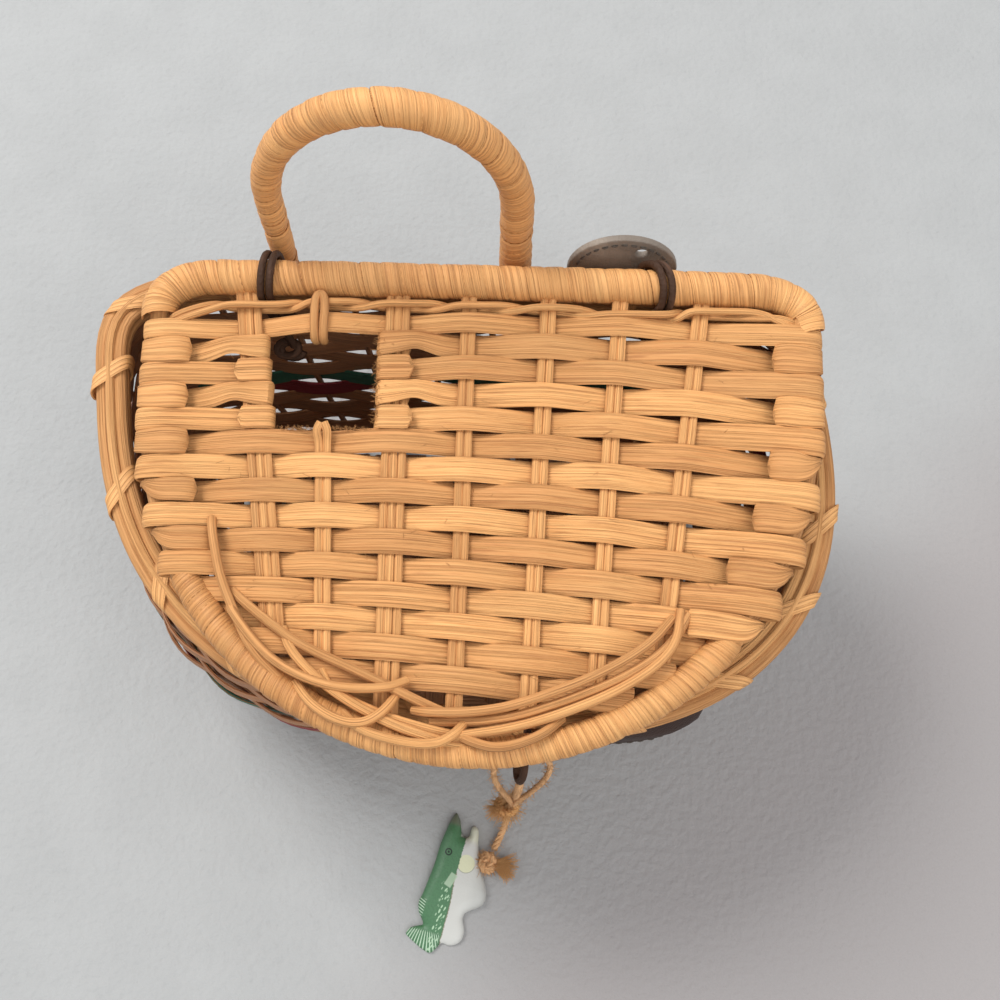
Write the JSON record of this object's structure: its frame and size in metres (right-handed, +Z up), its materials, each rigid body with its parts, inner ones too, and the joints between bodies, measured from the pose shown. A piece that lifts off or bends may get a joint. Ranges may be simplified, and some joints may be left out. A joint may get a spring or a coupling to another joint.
{
  "type": "fishing creel bag",
  "caption": "Small wicker creel with a hinged woven lid and fish hole, wrapped handle, leather pocket and a fish charm on jute.",
  "frame": {"origin": "on the table under the basket, at the flat face of the basket's floor, 25 mm behind which the widest part of the rim lies", "axes": "+X to the wearer's right as seen from the front of the lid, +Y towards the hinge and handle, +Z up"},
  "size_m": [0.2008, 0.1828, 0.1704],
  "materials": {
    "natural_reed": "split rattan reed, honey tan, fine fibre lines, satin",
    "wrapped_reed": "flat reed wound round a core, fine fibre lines, satin",
    "rim_reed": "half-round rim reeds with flat lashing, satin",
    "dyed_reed": "dark brown dyed reed with one green and one maroon row, satin",
    "lace_leather": "dark brown round lace, slightly glossy",
    "dark_leather": "dark purple-brown smooth leather with stitched edge",
    "jute": "fuzzy twisted jute",
    "fish_paint": "painted green back and pale belly"
  },
  "bodies": {
    "basket": {"back_tab": "dark_leather", "body_wall": "dyed_reed", "fish_charm": "fish_paint", "front_pocket": "dark_leather", "handle": "wrapped_reed", "jute_knot": "jute", "jute_tie": "jute", "keeper_loop": "lace_leather", "lace_left_1": "lace_leather", "lace_left_2": "lace_leather", "lace_left_knot": "lace_leather", "lace_right_1": "lace_leather", "lace_right_2": "lace_leather", "lace_right_knot": "lace_leather", "pocket_flap": "dark_leather", "rim_inner": "rim_reed", "rim_lashing": "rim_reed", "rim_outer": "rim_reed"},
    "lid": {"lid_back_rod": "wrapped_reed", "lid_border_reed_1": "natural_reed", "lid_border_reed_2": "natural_reed", "lid_border_reed_3": "natural_reed", "lid_frame_left": "wrapped_reed", "lid_frame_right": "wrapped_reed", "lid_front_hoop": "wrapped_reed", "lid_row_01": "natural_reed", "lid_row_02_left": "natural_reed", "lid_row_02_right": "natural_reed", "lid_row_03_left": "natural_reed", "lid_row_03_right": "natural_reed", "lid_row_04_left": "natural_reed", "lid_row_04_right": "natural_reed", "lid_row_05_left": "natural_reed", "lid_row_05_right": "natural_reed", "lid_row_06": "natural_reed", "lid_row_07": "natural_reed", "lid_row_08": "natural_reed", "lid_row_09": "natural_reed", "lid_row_10": "natural_reed", "lid_row_11": "natural_reed", "lid_row_12": "natural_reed", "lid_row_13": "natural_reed", "lid_row_14": "natural_reed", "lid_row_15": "natural_reed", "lid_spoke_1": "natural_reed", "lid_spoke_2": "natural_reed", "lid_spoke_2_stub": "natural_reed", "lid_spoke_3": "natural_reed", "lid_spoke_4": "natural_reed", "lid_spoke_5": "natural_reed", "lid_spoke_6": "natural_reed", "lid_spoke_7": "natural_reed", "lid_twine_1": "natural_reed", "lid_twine_2": "natural_reed"}
  },
  "joints": [
    {"name": "lid_hinge", "type": "hinge", "parent": "basket", "child": "lid", "pos_m": [0.005, 0.058, 0.112], "axis": [-1, 0, 0], "range_deg": [0, 100]}
  ]
}
